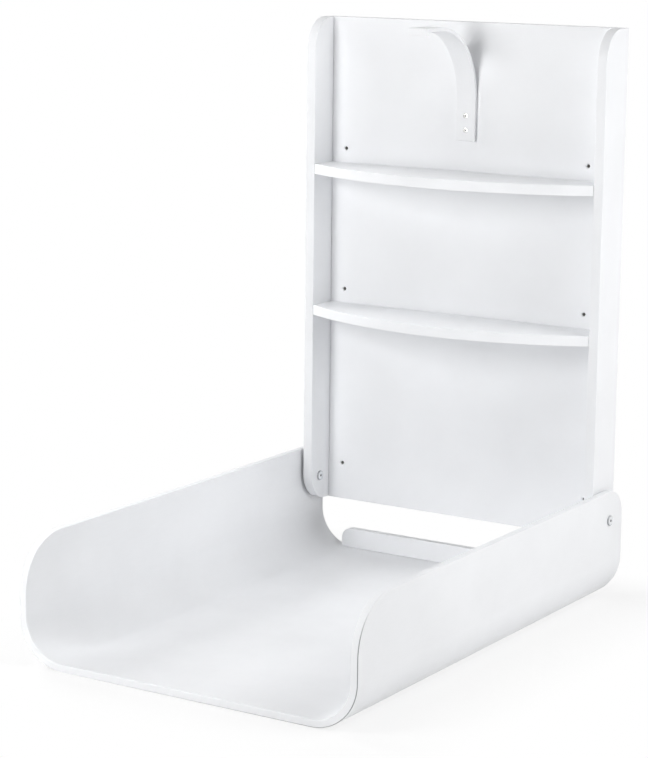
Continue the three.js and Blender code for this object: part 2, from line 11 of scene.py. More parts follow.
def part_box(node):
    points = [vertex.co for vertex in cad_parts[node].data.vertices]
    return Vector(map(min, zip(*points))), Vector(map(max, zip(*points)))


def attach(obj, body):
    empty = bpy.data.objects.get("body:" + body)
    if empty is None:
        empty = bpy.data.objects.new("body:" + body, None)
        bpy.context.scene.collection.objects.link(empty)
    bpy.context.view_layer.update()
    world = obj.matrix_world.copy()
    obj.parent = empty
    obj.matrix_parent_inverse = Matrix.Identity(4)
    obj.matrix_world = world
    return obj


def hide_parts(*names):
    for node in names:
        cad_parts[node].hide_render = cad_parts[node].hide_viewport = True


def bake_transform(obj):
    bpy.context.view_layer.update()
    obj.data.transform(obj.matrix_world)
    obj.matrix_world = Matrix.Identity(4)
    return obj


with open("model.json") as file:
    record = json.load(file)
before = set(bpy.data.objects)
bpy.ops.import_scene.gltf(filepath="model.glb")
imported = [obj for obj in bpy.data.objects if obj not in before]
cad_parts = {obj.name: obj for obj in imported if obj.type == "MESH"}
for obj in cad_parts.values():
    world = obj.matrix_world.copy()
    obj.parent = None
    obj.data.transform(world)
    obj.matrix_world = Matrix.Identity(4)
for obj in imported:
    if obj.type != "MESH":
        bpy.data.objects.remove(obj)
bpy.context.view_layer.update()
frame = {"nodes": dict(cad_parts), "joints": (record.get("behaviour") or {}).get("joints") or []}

# Sizes that a node's box can't give are in metres, angles in degrees.

# Sheets, bends and rounded corners
PLY = 0.012
BEND_RADIUS = 0.077
FRONT_CORNER_RADIUS = 0.083
SIDE_CORNER_RADIUS = 0.050
LIP_CORNER_RADIUS = 0.019
LIP_SCRIBE_GAP = 0.0003
CATCH_PLY = 0.006
CATCH_BEND_RADIUS = 0.116

# Eased edges
BOARD_ARRIS = 0.0012
PANEL_ARRIS = 0.0004
SHELF_ARRIS = 0.0007
TRAY_ARRIS = 0.0014
STRIP_ARRIS = 0.0008
LIP_ARRIS = 0.0009
SHARP_ANGLE = 42  # edges that turn by more than this stay sharp in the shading

# Holes
WALL_HOLE_RADIUS = 0.0028
COUNTERSINK_RADIUS = 0.0046
WALL_HOLE_ABOVE_SHELF = 0.024
WALL_HOLE_ABOVE_FOOT = 0.064
WALL_HOLE_INSET = 0.028
WALL_HOLE_INSET_UPPER_RIGHT = 0.039
DOWEL_HOLE_RADIUS = 0.0043
LIP_DOWEL_HOLE_RADIUS = 0.0033
SLEEVE_HOLE_RADIUS = 0.0053
PILOT_RADIUS = 0.0022
SCREW_HOLE_RADIUS = 0.0022
SCREW_HEAD_HOLE_RADIUS = 0.0042
SCREW_HEAD_HOLE_LAND = 0.0003  # straight wall above the cone that the head sits in
HOLE_SPARE = 0.0005  # how far a hole goes past the end of what sits in it
PROUD = 0.002  # how far a cutter stands out of the face it enters
MERGE_DISTANCE = 1e-6  # corners closer than this are one

# Screws and pivots
SCREW_SHANK_RADIUS = 0.0019
SCREW_RIM_WIDTH = 0.0004
SCREW_RIM_DEPTH = 0.0002
SCREW_SOCKET = (0.0015, 0.0012)  # radius, depth
PIVOT_SOCKET = (0.0023, 0.0018)  # radius, depth
SOCKET_POINT = 0.3  # height of the point under a socket, as a share of its radius
PIVOT_HEAD_DEPTH = 0.0026
PIVOT_HEAD_ROUND = ((0.0012, 0.0), (0.0004, 0.0003), (0.0, 0.0011))  # in from the rim, down from the face
# Width of the painted shade round the rim of a pivot head
PIVOT_RIM_SHADE_WIDTH = 0.0010
SLEEVE_SHANK_RADIUS = 0.0050
SLEEVE_BORE_RADIUS = 0.0033
SLEEVE_BORE_LENGTH = 0.0216
BOLT_SHANK_RADIUS = 0.0030
SPACER_ROUND = 0.0006

# The dark line of painted shade along the outer arris of the tray's front edge, on the right
PAINTED_EDGE_SHADE_BAND = (0.02, 0.9)  # the shaded part of the arris, as shares of its width from the outer face
PAINTED_EDGE_SHADE_FROM = 0.02  # x at which the line sets in
PAINTED_EDGE_SHADE_GROWS = 0.16  # length over which it comes to full strength
PAINTED_EDGE_SHADE_GONE = 50  # angle up the rounded front corner at which it has gone
PAINTED_EDGE_SHADE_GOES = 30  # angle over which it goes

# Steps along arcs, and facets of round forms
BEND_STEPS = 28
FRONT_CORNER_STEPS = 36
LIP_CORNER_STEPS = 20
LIP_SCRIBE_STEPS = 4
SHELF_BOW_STEPS = 56
STRIP_BEND_STEPS = 48
STRIP_FOOT_STEPS = 12
STRIP_TONGUE_STEPS = 8
TURNED_FACETS = 48
HOLE_FACETS = 40
SMALL_HOLE_FACETS = 24
HEX_FACETS = 6

# Directions
ACROSS = (1, 0, 0)
INTO_WALL = (0, 1, 0)
UP = (0, 0, 1)

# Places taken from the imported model
JOINTS = {joint["name"]: joint for joint in frame["joints"]}
PIVOT = Vector(JOINTS["tray_fold"]["pos_m"])
TRAY_LOW, TRAY_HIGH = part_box("tray_shell")
PANEL_LOW, PANEL_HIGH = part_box("back_panel")
SHELF_DOWELS = [node for node in frame["nodes"] if "_shelf_dowel_" in node]
PANEL_DOWELS = [node for node in frame["nodes"] if node.startswith("panel_dowel_")]
LIP_DOWELS = [node for node in frame["nodes"] if node.startswith("lip_dowel_")]
HANDS = {"left": -1, "right": 1}


def linear(red, green, blue):
    """A colour of the screen, 0 to 255, as the light values that a shader takes."""
    parts = [value / 255 for value in (red, green, blue)]
    return tuple(v / 12.92 if v <= 0.04045 else ((v + 0.055) / 1.055) ** 2.4 for v in parts) + (1.0,)


# Materials

CLEAR = (1, 1, 1, 1)  # multiplies a colour by nothing
SPECK, SPECK_STRENGTH = (0.94, 0.94, 0.945, 1), 0.6
GRAIN_SHADE, GRAIN_STRENGTH = (0.975, 0.975, 0.972, 1), 0.5
FLECK, FLECK_STRENGTH = (0.72, 0.6, 0.5, 1), 0.7
CLOUD_DARKER, CLOUD_LIGHTER = 4, 1  # how far lacquer clouds from its colour, of 255 levels
# Colour of the painted shade line on the tray's right front arris
PAINTED_EDGE_SHADE = linear(154, 155, 156)
ALONG_TRAY = (6, 0.25, 6)  # stretch of the grain
ALONG_STRIP = (6, 0.5, 0.5)


def empty_tree(owner):
    """The node tree of a material or world, with nothing in it."""
    owner.use_nodes = True
    owner.node_tree.nodes.clear()
    return owner.node_tree


def new_material(name):
    material = bpy.data.materials.new(name)
    tree = empty_tree(material)
    output = tree.nodes.new("ShaderNodeOutputMaterial")
    shader = tree.nodes.new("ShaderNodeBsdfPrincipled")
    tree.links.new(shader.outputs["BSDF"], output.inputs["Surface"])
    return material, tree, shader


def noise(tree, scale, detail=3.0, stretch=(1, 1, 1), roughness=0.5):
    """Noise in object space, about 1/scale metres from blob to blob."""
    coordinates = tree.nodes.new("ShaderNodeTexCoord")
    mapping = tree.nodes.new("ShaderNodeMapping")
    mapping.inputs["Scale"].default_value = stretch
    texture = tree.nodes.new("ShaderNodeTexNoise")
    texture.inputs["Scale"].default_value = scale
    texture.inputs["Detail"].default_value = detail
    texture.inputs["Roughness"].default_value = roughness
    tree.links.new(coordinates.outputs["Object"], mapping.inputs["Vector"])
    tree.links.new(mapping.outputs["Vector"], texture.inputs["Vector"])
    return texture.outputs["Fac"]


def ramp(tree, factor, stops):
    """A colour ramp over (position, colour) stops."""
    node = tree.nodes.new("ShaderNodeValToRGB")
    elements = node.color_ramp.elements
    while len(elements) < len(stops):
        elements.new(0.5)
    for element, (position, colour) in zip(elements, stops):
        element.position = position
        element.color = colour
    tree.links.new(factor, node.inputs["Fac"])
    return node.outputs["Color"]


def spread(tree, factor, low, high, start=0.3, end=0.7):
    """A number that goes from low to high as the factor goes from start to end."""
    node = tree.nodes.new("ShaderNodeMapRange")
    node.inputs["From Min"].default_value = start
    node.inputs["From Max"].default_value = end
    node.inputs["To Min"].default_value = low
    node.inputs["To Max"].default_value = high
    tree.links.new(factor, node.inputs["Value"])
    return node.outputs["Result"]


def mix(tree, factor, first, second, blend="MIX"):
    """Two colours mixed; the factor and the colours may each be a socket or a value."""
    node = tree.nodes.new("ShaderNodeMix")
    node.data_type = "RGBA"
    node.blend_type = blend
    usable = [s for s in node.inputs if s.enabled and s.type in ("RGBA", "VALUE")]
    for name, value in (("Factor", factor), ("A", first), ("B", second)):
        socket = next(s for s in usable if s.name == name)
        if isinstance(value, bpy.types.NodeSocket):
            tree.links.new(value, socket)
        else:
            socket.default_value = value
    return next(s for s in node.outputs if s.type == "RGBA" and s.enabled)


def bump(tree, height, distance, strength, normal=None):
    node = tree.nodes.new("ShaderNodeBump")
    node.inputs["Distance"].default_value = distance
    node.inputs["Strength"].default_value = strength
    tree.links.new(height, node.inputs["Height"])
    if normal is not None:
        tree.links.new(normal, node.inputs["Normal"])
    return node.outputs["Normal"]


def attribute(tree, name):
    node = tree.nodes.new("ShaderNodeAttribute")
    node.attribute_name = name
    return node.outputs["Fac"]


def white_lacquer(name, base, grain=None, painted_edge_shade=False):
    """Satin white lacquer: faint clouds, fine orange peel, and faint wood grain where its stretch is given."""
    material, tree, shader = new_material(name)
    dark = linear(*(value - CLOUD_DARKER for value in base))
    light = linear(*(value + CLOUD_LIGHTER for value in base))
    colour = ramp(tree, noise(tree, scale=7.0, detail=4.0), [(0.3, dark), (0.7, light)])
    specks = ramp(tree, noise(tree, scale=900.0, detail=2.0), [(0.30, SPECK), (0.42, CLEAR)])
    colour = mix(tree, SPECK_STRENGTH, colour, specks, "MULTIPLY")
    normal = bump(tree, noise(tree, scale=420.0), distance=0.0004, strength=0.05)
    if grain:
        streaks = noise(tree, scale=160.0, detail=5.0, stretch=grain, roughness=0.6)
        shade = ramp(tree, streaks, [(0.35, GRAIN_SHADE), (0.6, CLEAR)])
        colour = mix(tree, GRAIN_STRENGTH, colour, shade, "MULTIPLY")
        normal = bump(tree, streaks, distance=0.0003, strength=0.05, normal=normal)
    # Painted shade: a dark line mixed in along the arris that the mesh marks
    if painted_edge_shade:
        colour = mix(tree, attribute(tree, "painted_edge_shade"), colour, PAINTED_EDGE_SHADE)
    polish = spread(tree, noise(tree, scale=60.0, detail=4.0), low=0.40, high=0.52)
    tree.links.new(colour, shader.inputs["Base Color"])
    tree.links.new(polish, shader.inputs["Roughness"])
    tree.links.new(normal, shader.inputs["Normal"])
    shader.inputs["IOR"].default_value = 1.48
    return material


def bare_fibre(name):
    """Bare board inside a drilled hole: pale grey-brown fibres."""
    material, tree, shader = new_material(name)
    fibres = noise(tree, scale=900.0, detail=5.0, stretch=(1, 0.25, 1), roughness=0.65)
    colour = ramp(tree, fibres, [
        (0.3, linear(138, 136, 132)), (0.55, linear(168, 165, 160)), (0.75, linear(190, 187, 182)),
    ])
    tree.links.new(colour, shader.inputs["Base Color"])
    tree.links.new(bump(tree, fibres, distance=0.0004, strength=0.5), shader.inputs["Normal"])
    shader.inputs["Roughness"].default_value = 0.9
    return material


def beech(name):
    """Beech with fine flecks along the dowel."""
    material, tree, shader = new_material(name)
    grain = noise(tree, scale=220.0, detail=5.0, stretch=(0.12, 1, 1), roughness=0.6)
    flecks = noise(tree, scale=900.0, detail=2.0, stretch=(0.2, 1, 1))
    colour = ramp(tree, grain, [
        (0.3, linear(188, 148, 104)), (0.5, linear(214, 178, 134)), (0.7, linear(228, 198, 156)),
    ])
    shade = ramp(tree, flecks, [(0.32, FLECK), (0.42, CLEAR)])
    colour = mix(tree, FLECK_STRENGTH, colour, shade, "MULTIPLY")
    tree.links.new(colour, shader.inputs["Base Color"])
    tree.links.new(spread(tree, grain, low=0.6, high=0.8), shader.inputs["Roughness"])
    tree.links.new(bump(tree, grain, distance=0.0004, strength=0.3), shader.inputs["Normal"])
    return material


def plated_metal(name, dark, light, smoothest, roughest):
    """Plated steel with a fine turned finish and slightly uneven polish, between two colours and roughnesses."""
    material, tree, shader = new_material(name)
    clouds = noise(tree, scale=260.0, detail=4.0)
    scratches = noise(tree, scale=2600.0, stretch=(1, 0.2, 0.2))
    tree.links.new(ramp(tree, clouds, [(0.3, linear(*dark)), (0.7, linear(*light))]), shader.inputs["Base Color"])
    tree.links.new(spread(tree, scratches, smoothest, roughest), shader.inputs["Roughness"])
    tree.links.new(bump(tree, scratches, distance=0.00008, strength=0.25), shader.inputs["Normal"])
    shader.inputs["Metallic"].default_value = 1.0
    return material


def nylon(name):
    """Natural nylon: milky, a little waxy, with faint flow marks."""
    material, tree, shader = new_material(name)
    clouds = noise(tree, scale=300.0, detail=4.0)
    colour = ramp(tree, clouds, [(0.3, linear(214, 213, 206)), (0.7, linear(228, 227, 221))])
    polish = spread(tree, noise(tree, scale=700.0, detail=2.0), low=0.42, high=0.56)
    tree.links.new(colour, shader.inputs["Base Color"])
    tree.links.new(polish, shader.inputs["Roughness"])
    tree.links.new(bump(tree, clouds, distance=0.0002, strength=0.15), shader.inputs["Normal"])
    shader.inputs["Subsurface Weight"].default_value = 0.15
    shader.inputs["Subsurface Radius"].default_value = (0.002, 0.002, 0.0018)
    return material


BOARD_WHITE = white_lacquer("board_lacquer", (238, 239, 241))
TRAY_WHITE = white_lacquer("tray_lacquer", (238, 239, 241), grain=ALONG_TRAY, painted_edge_shade=True)
STRIP_WHITE = white_lacquer("strip_lacquer", (237, 238, 240), grain=ALONG_STRIP)
FIBRE = bare_fibre("bare_fibre")
BEECH = beech("beech_dowel_wood")
NICKEL = plated_metal("bright_nickel", (206, 205, 202), (232, 231, 229), smoothest=0.16, roughest=0.30)
ZINC = plated_metal("bright_zinc", (222, 224, 227), (238, 239, 241), smoothest=0.12, roughest=0.24)
# A darker, rougher copy of the bright zinc for the rims of the pivot heads: painted shade
ZINC_PAINTED_SHADE = plated_metal("zinc_painted_shade", (158, 160, 163), (184, 186, 189), smoothest=0.34, roughest=0.50)
# Near-black plating for the walls of the hex sockets: painted shade in the recess
SOCKET_PAINTED_SHADE = plated_metal("socket_painted_shade", (46, 47, 49), (72, 73, 75), smoothest=0.40, roughest=0.55)
NYLON = nylon("nylon_ring")


# Mesh building

def arc(centre, radius, start, end, steps):
    """Points of an arc, in degrees, both ends included."""
    angles = np.radians(np.linspace(start, end, steps + 1))
    return [(centre[0] + radius * math.cos(a), centre[1] + radius * math.sin(a)) for a in angles]


def mesh_object(name, points, faces, material):
    """An object from points and faces, with shared corners joined and every face turned outwards."""
    mesh = bpy.data.meshes.new(name)
    mesh.from_pydata([tuple(point) for point in points], [], faces)
    form = bmesh.new()
    form.from_mesh(mesh)
    bmesh.ops.remove_doubles(form, verts=form.verts, dist=MERGE_DISTANCE)
    bmesh.ops.recalc_face_normals(form, faces=form.faces)
    form.to_mesh(mesh)
    form.free()
    mesh.materials.append(material)
    piece = bpy.data.objects.new(name, mesh)
    bpy.context.scene.collection.objects.link(piece)
    return piece


def plate(name, outline, low, high, order, material):
    """A board: (u, v) points carried from w = low to w = high. Order says which of u, v, w is x, y, z."""
    count = len(outline)
    points = []
    for level in (low, high):
        for u, v in outline:
            spot = {"u": u, "v": v, "w": level}
            points.append([spot[axis] for axis in order])
    faces = [tuple(range(count)), tuple(range(count, 2 * count))]
    for i in range(count):
        after = (i + 1) % count
        faces.append((i, after, count + after, count + i))
    return mesh_object(name, points, faces, material)


def turned(name, profile, origin, axis, material, facets=TURNED_FACETS, ring=False):
    """(Radius, height) corners swept round an axis. A ring closes on itself, a plug ends on the axis."""
    spin = Vector(UP).rotation_difference(Vector(axis)).to_matrix()
    points = []
    for radius, height in profile:
        for step in range(facets):
            angle = 2 * math.pi * step / facets
            corner = Vector((radius * math.cos(angle), radius * math.sin(angle), height))
            points.append(Vector(origin) + spin @ corner)
    faces = []
    rows = len(profile)
    for row in range(rows if ring else rows - 1):
        upper = (row + 1) % rows
        for step in range(facets):
            after = (step + 1) % facets
            a, b = row * facets + step, row * facets + after
            c, d = upper * facets + after, upper * facets + step
            if profile[row][0] == 0:
                faces.append((a, c, d))
            elif profile[upper][0] == 0:
                faces.append((a, b, c))
            else:
                faces.append((a, b, c, d))
    return mesh_object(name, points, faces, material)


def bore(origin, axis, radius, low, high, facets=HOLE_FACETS):
    """A cutter for a plain round hole along an axis, between two heights over its origin."""
    profile = [(0, low), (radius, low), (radius, high), (0, high)]
    return turned("cutter", profile, origin, axis, FIBRE, facets)


def settle(piece):
    """Keeps what the modifiers make of a piece as its own mesh."""
    graph = bpy.context.evaluated_depsgraph_get()
    shown = piece.evaluated_get(graph)
    made = bpy.data.meshes.new_from_object(shown, preserve_all_data_layers=True, depsgraph=graph)
    piece.modifiers.clear()
    old = piece.data
    piece.data = made
    bpy.data.meshes.remove(old)


def ease(piece, width, segments=3, angle=50):
    """Rounds every arris of a piece that turns by more than the angle."""
    modifier = piece.modifiers.new("arris", "BEVEL")
    modifier.width = width
    modifier.segments = segments
    modifier.limit_method = "ANGLE"
    modifier.angle_limit = math.radians(angle)
    modifier.miter_outer = "MITER_ARC"
    settle(piece)


def drill(piece, cutters):
    """Cuts holes; each cutter leaves its own material on the wall of its hole."""
    for cutter in cutters:
        modifier = piece.modifiers.new("hole", "BOOLEAN")
        modifier.operation = "DIFFERENCE"
        modifier.solver = "EXACT"
        modifier.material_mode = "TRANSFER"
        modifier.object = cutter
    bpy.context.view_layer.update()
    settle(piece)
    for cutter in cutters:
        mesh = cutter.data
        bpy.data.objects.remove(cutter)
        bpy.data.meshes.remove(mesh)


def smooth(piece):
    """Smooth shading that keeps flat faces flat and true corners sharp."""
    mesh = piece.data
    form = bmesh.new()
    form.from_mesh(mesh)
    for face in form.faces:
        face.smooth = True
    for edge in form.edges:
        edge.smooth = edge.is_manifold and edge.calc_face_angle(0) < math.radians(SHARP_ANGLE)
    form.to_mesh(mesh)
    form.free()
    modifier = piece.modifiers.new("normals", "WEIGHTED_NORMAL")
    modifier.keep_sharp = True
    settle(piece)


def place(piece, body, slot, *nodes):
    """Puts a finished piece on its body, in place of the CAD nodes it stands for."""
    smooth(piece)
    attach(piece, body)
    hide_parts(*nodes)


def middle(node):
    low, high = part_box(node)
    return (low + high) / 2


def dowel_holes(nodes, axis, radius):
    """Cutters for the dowels of a joint, as long as each dowel and a little more."""
    cutters = []
    along = Vector(axis)
    for node in nodes:
        low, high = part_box(node)
        half = abs((high - low).dot(along)) / 2 + HOLE_SPARE
        cutters.append(bore(middle(node), axis, radius, -half, half, SMALL_HOLE_FACETS))
    return cutters


# Shelf unit

def wall_hole(x, z):
    """A screw hole through the panel, its countersink lacquered and its bore bare."""
    front = PANEL_LOW.y
    throat = COUNTERSINK_RADIUS - WALL_HOLE_RADIUS
    depth = PANEL_HIGH.y - front
    through = bore((x, front, z), INTO_WALL, WALL_HOLE_RADIUS, throat / 2, depth + PROUD)
    cone = [(0, -PROUD), (COUNTERSINK_RADIUS + PROUD, -PROUD), (WALL_HOLE_RADIUS, throat), (0, throat)]
    return [through, turned("cutter", cone, (x, front, z), INTO_WALL, BOARD_WHITE, HOLE_FACETS)]


def wall_hole_places():
    """Two screw holes in each of three rows; the right-hand ones of the upper rows sit further in."""
    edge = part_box("right_side")[0].x
    rows = [
        (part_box(shelf)[1].z + WALL_HOLE_ABOVE_SHELF, WALL_HOLE_INSET_UPPER_RIGHT)
        for shelf in ("upper_shelf", "lower_shelf")
    ]
    rows.append((PANEL_LOW.z + WALL_HOLE_ABOVE_FOOT, WALL_HOLE_INSET))
    return [spot for z, inset in rows for spot in ((WALL_HOLE_INSET - edge, z), (edge - inset, z))]


def back_panel():
    """The board between the sides, with wall holes, dowel holes and pilot holes for the catch."""
    low, high = PANEL_LOW, PANEL_HIGH
    outline = [(low.x, low.z), (high.x, low.z), (high.x, high.z), (low.x, high.z)]
    piece = plate("panel_board", outline, low.y, high.y, "uwv", BOARD_WHITE)
    ease(piece, PANEL_ARRIS)
    cutters = []
    for x, z in wall_hole_places():
        cutters += wall_hole(x, z)
    cutters += dowel_holes(PANEL_DOWELS, ACROSS, DOWEL_HOLE_RADIUS)
    for node in ("catch_screw_lower", "catch_screw_upper"):
        centre = middle(node)
        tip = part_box(node)[1].y - low.y + HOLE_SPARE
        start = (centre.x, low.y, centre.z)
        cutters.append(bore(start, INTO_WALL, PILOT_RADIUS, -PROUD, tip, SMALL_HOLE_FACETS))
    drill(piece, cutters)
    place(piece, "shelf_unit", "white_board", "back_panel")


def side_board(hand_name):
    """A side with rounded front corners, dowel holes and the bore of its pivot."""
    node = f"{hand_name}_side"
    low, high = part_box(node)
    radius = SIDE_CORNER_RADIUS
    outline = [(high.y, low.z), (high.y, high.z)]
    outline += arc((low.y + radius, high.z - radius), radius, 90, 180, BEND_STEPS)
    outline += arc((low.y + radius, low.z + radius), radius, 180, 270, BEND_STEPS)
    piece = plate(f"{hand_name}_side_board", outline, low.x, high.x, "wuv", BOARD_WHITE)
    ease(piece, BOARD_ARRIS)
    dowels = [name for name in PANEL_DOWELS + SHELF_DOWELS if f"_{hand_name}_" in name]
    cutters = dowel_holes(dowels, ACROSS, DOWEL_HOLE_RADIUS)
    pivot_line = (0, PIVOT.y, PIVOT.z)
    cutters.append(bore(pivot_line, ACROSS, SLEEVE_HOLE_RADIUS, low.x - PROUD, high.x + PROUD))
    drill(piece, cutters)
    place(piece, "shelf_unit", "white_board", node)


def shelf_board(level):
    """A shelf whose front edge swells forward from the fronts of the sides."""
    node = f"{level}_shelf"
    low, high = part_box(node)
    half = high.x
    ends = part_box("left_side")[0].y
    bow = ends - low.y
    radius = (half * half + bow * bow) / (2 * bow)
    sweep = math.degrees(math.asin(half / radius))
    outline = [(half, high.y), (-half, high.y)]
    outline += arc((0, low.y + radius), radius, 270 - sweep, 270 + sweep, SHELF_BOW_STEPS)
    piece = plate(f"{level}_shelf_board", outline, low.z, high.z, "uvw", BOARD_WHITE)
    ease(piece, SHELF_ARRIS)
    dowels = [name for name in SHELF_DOWELS if name.startswith(level)]
    drill(piece, dowel_holes(dowels, ACROSS, DOWEL_HOLE_RADIUS))
    place(piece, "shelf_unit", "white_board", node)


# Catch

def strip_sides():
    """The strip in profile, as (y, z) points from its foot to its tip: the hollow side and the crown side."""
    foot_low, foot_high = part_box("catch_foot")
    tongue_low, tongue_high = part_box("catch_tongue")
    hook_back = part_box("catch_hook")[1].y
    front, back = foot_low.y, foot_high.y
    centre = (front - CATCH_BEND_RADIUS, tongue_high.z - CATCH_PLY - CATCH_BEND_RADIUS)
    hollow = [(front, z) for z in np.linspace(foot_low.z, centre[1], STRIP_FOOT_STEPS + 1)[:-1]]
    crown = [(back, z) for _, z in hollow]
    hollow += arc(centre, CATCH_BEND_RADIUS, 0, 90, STRIP_BEND_STEPS)
    crown += arc(centre, CATCH_BEND_RADIUS + CATCH_PLY, 0, 90, STRIP_BEND_STEPS)
    for y in [*np.linspace(centre[0], hook_back, STRIP_TONGUE_STEPS + 1)[1:], tongue_low.y]:
        hollow.append((y, tongue_high.z - CATCH_PLY))
        crown.append((y, tongue_high.z))
    return hollow, crown


def screw_seats():
    """Cutters for the two screws: a straight land, a cone and a through hole."""
    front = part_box("catch_foot")[0].y
    cone_end = SCREW_HEAD_HOLE_LAND + SCREW_HEAD_HOLE_RADIUS - SCREW_HOLE_RADIUS
    profile = [
        (0, -PROUD), (SCREW_HEAD_HOLE_RADIUS, -PROUD), (SCREW_HEAD_HOLE_RADIUS, SCREW_HEAD_HOLE_LAND),
        (SCREW_HOLE_RADIUS, cone_end), (SCREW_HOLE_RADIUS, CATCH_PLY + PROUD), (0, CATCH_PLY + PROUD),
    ]
    return [
        turned("cutter", profile, (0, front, middle(node).z), INTO_WALL, FIBRE, HOLE_FACETS)
        for node in ("catch_screw_lower", "catch_screw_upper")
    ]


def catch_strip():
    """The bent strip with its hook, in one piece, in place of the foot, tongue and hook nodes."""
    hook_low, hook_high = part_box("catch_hook")
    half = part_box("catch_foot")[1].x
    points = []
    for (y0, z0), (y1, z1) in zip(*strip_sides()):
        points += [(-half, y0, z0), (half, y0, z0), (half, y1, z1), (-half, y1, z1)]
    faces = [(0, 1, 2, 3)]
    step, tip = len(points) - 8, len(points) - 4  # the rows of four between which the hook hangs
    for row in range(0, tip, 4):
        for side in range(4):
            after = (side + 1) % 4
            if row < step or side > 0:
                faces.append((row + side, row + after, row + 4 + after, row + 4 + side))
    hook = len(points)
    for y in (hook_high.y, hook_low.y):
        points += [(-half, y, hook_low.z), (half, y, hook_low.z)]
    faces += [
        (step, step + 1, hook + 1, hook), (hook, hook + 1, hook + 3, hook + 2),
        (step, tip, hook + 2, hook), (step + 1, tip + 1, hook + 3, hook + 1),
        (tip, tip + 3, tip + 2, tip + 1, hook + 3, hook + 2),
    ]
    piece = mesh_object("catch_strip", points, faces, STRIP_WHITE)
    ease(piece, STRIP_ARRIS)
    drill(piece, screw_seats())
    smooth(piece)
    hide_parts("catch_foot", "catch_tongue", "catch_hook")
    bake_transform(piece)


def hex_socket(origin, axis, radius, depth):
    """A six-sided cutter that enters a head from its face and ends in a blunt point; it leaves dark metal on the
    socket's walls as painted shade.
    """
    profile = [(0, -PROUD), (radius, -PROUD), (radius, depth), (0, depth + radius * SOCKET_POINT)]
    return turned("cutter", profile, origin, axis, SOCKET_PAINTED_SHADE, HEX_FACETS)


def catch_screw(level):
    """A countersunk screw with a hex socket."""
    node = f"catch_screw_{level}"
    low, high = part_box(node)
    centre = (low + high) / 2
    head, shank = (high.x - low.x) / 2, SCREW_SHANK_RADIUS
    length = high.y - low.y
    profile = [
        (0, 0.0), (head - SCREW_RIM_WIDTH, 0.0), (head, SCREW_RIM_DEPTH),
        (shank, SCREW_RIM_DEPTH + head - shank), (shank, length - shank), (0, length),
    ]
    face = (centre.x, low.y, centre.z)
    piece = turned(f"{node}_turned", profile, face, INTO_WALL, NICKEL)
    drill(piece, [hex_socket(face, INTO_WALL, *SCREW_SOCKET)])
    place(piece, "shelf_unit", "nickel_screw", node)


# Tray

def tray_shell():
    """Floor and walls of one bent sheet; the walls are flat, with rounded corners, and the bends ruled."""
    half, top, under = TRAY_HIGH.x, TRAY_HIGH.z, TRAY_LOW.z
    front, rear = TRAY_LOW.y, TRAY_HIGH.y
    spring = under + BEND_RADIUS
    corner, pivot_round = FRONT_CORNER_RADIUS, rear - PIVOT.y
    wall = [(front, spring)]
    wall += arc((front + corner, top - corner), corner, 180, 90, FRONT_CORNER_STEPS)
    wall += arc((PIVOT.y, PIVOT.z), pivot_round, 90, 0, BEND_STEPS)
    wall += [(rear, spring)]
    points, faces = [], []

    def add(x, y, z):
        points.append((x, y, z))
        return len(points) - 1

    def sheet(inset):
        """Adds one face of the sheet and returns its border, once round from the left wall."""
        radius = BEND_RADIUS - inset
        left = [add(-half + inset, y, z) for y, z in wall]
        bends = []
        for hand, first, last in ((-1, 180, 270), (1, 270, 360)):
            for x, z in arc((hand * (half - BEND_RADIUS), spring), radius, first, last, BEND_STEPS):
                bends.append((add(x, front, z), add(x, rear, z)))
        right = [add(half - inset, y, z) for y, z in wall]
        faces.append(tuple(left))
        faces.append(tuple(right))
        for (a, b), (c, d) in zip(bends, bends[1:]):
            faces.append((a, c, d, b))
        return left + [b for a, b in bends] + right[::-1] + [a for a, b in bends][::-1]

    outer, inner = sheet(0.0), sheet(PLY)
    count = len(outer)
    for i in range(count):
        after = (i + 1) % count
        faces.append((outer[i], outer[after], inner[after], inner[i]))
    piece = mesh_object("tray_bent_sheet", points, faces, TRAY_WHITE)
    ease(piece, TRAY_ARRIS, segments=4)
    pivot_bore = bore((0, PIVOT.y, PIVOT.z), ACROSS, SLEEVE_HOLE_RADIUS, -half - PROUD, half + PROUD)
    drill(piece, [pivot_bore] + dowel_holes(LIP_DOWELS, UP, LIP_DOWEL_HOLE_RADIUS))
    mark_painted_edge_shade(piece, half, spring, front)
    place(piece, "tray", "white_bent_ply", "tray_shell")


def mark_painted_edge_shade(piece, half, spring, front):
    """Marks the thin dark line of painted shade along the outer arris of the front edge, on the right."""
    x, y, z = np.array([vertex.co for vertex in piece.data.vertices]).T
    bend = np.hypot(np.abs(x) - (half - BEND_RADIUS), z - spring) - BEND_RADIUS
    depth = np.where(z > spring, half - x, -bend)
    corner_y, corner_z = front + FRONT_CORNER_RADIUS, TRAY_HIGH.z - FRONT_CORNER_RADIUS
    on_corner = z > corner_z
    corner_setback = FRONT_CORNER_RADIUS - np.hypot(y - corner_y, z - corner_z)
    setback = np.where(on_corner, corner_setback, y - front)
    near, far = (share * TRAY_ARRIS for share in PAINTED_EDGE_SHADE_BAND)
    on_arris = (depth > near) & (depth < far) & (np.abs(setback) < far)
    fade = np.clip((x - PAINTED_EDGE_SHADE_FROM) / PAINTED_EDGE_SHADE_GROWS, 0, 1)
    swing = np.degrees(np.arctan2(z - corner_z, corner_y - y))
    fade = fade * np.where(on_corner, np.clip((PAINTED_EDGE_SHADE_GONE - swing) / PAINTED_EDGE_SHADE_GOES, 0, 1), 1)
    values = np.where(on_arris & (x > 0), fade, 0.0).astype(np.float32)
    layer = piece.data.attributes.new("painted_edge_shade", "FLOAT", "POINT")
    layer.data.foreach_set("value", values)


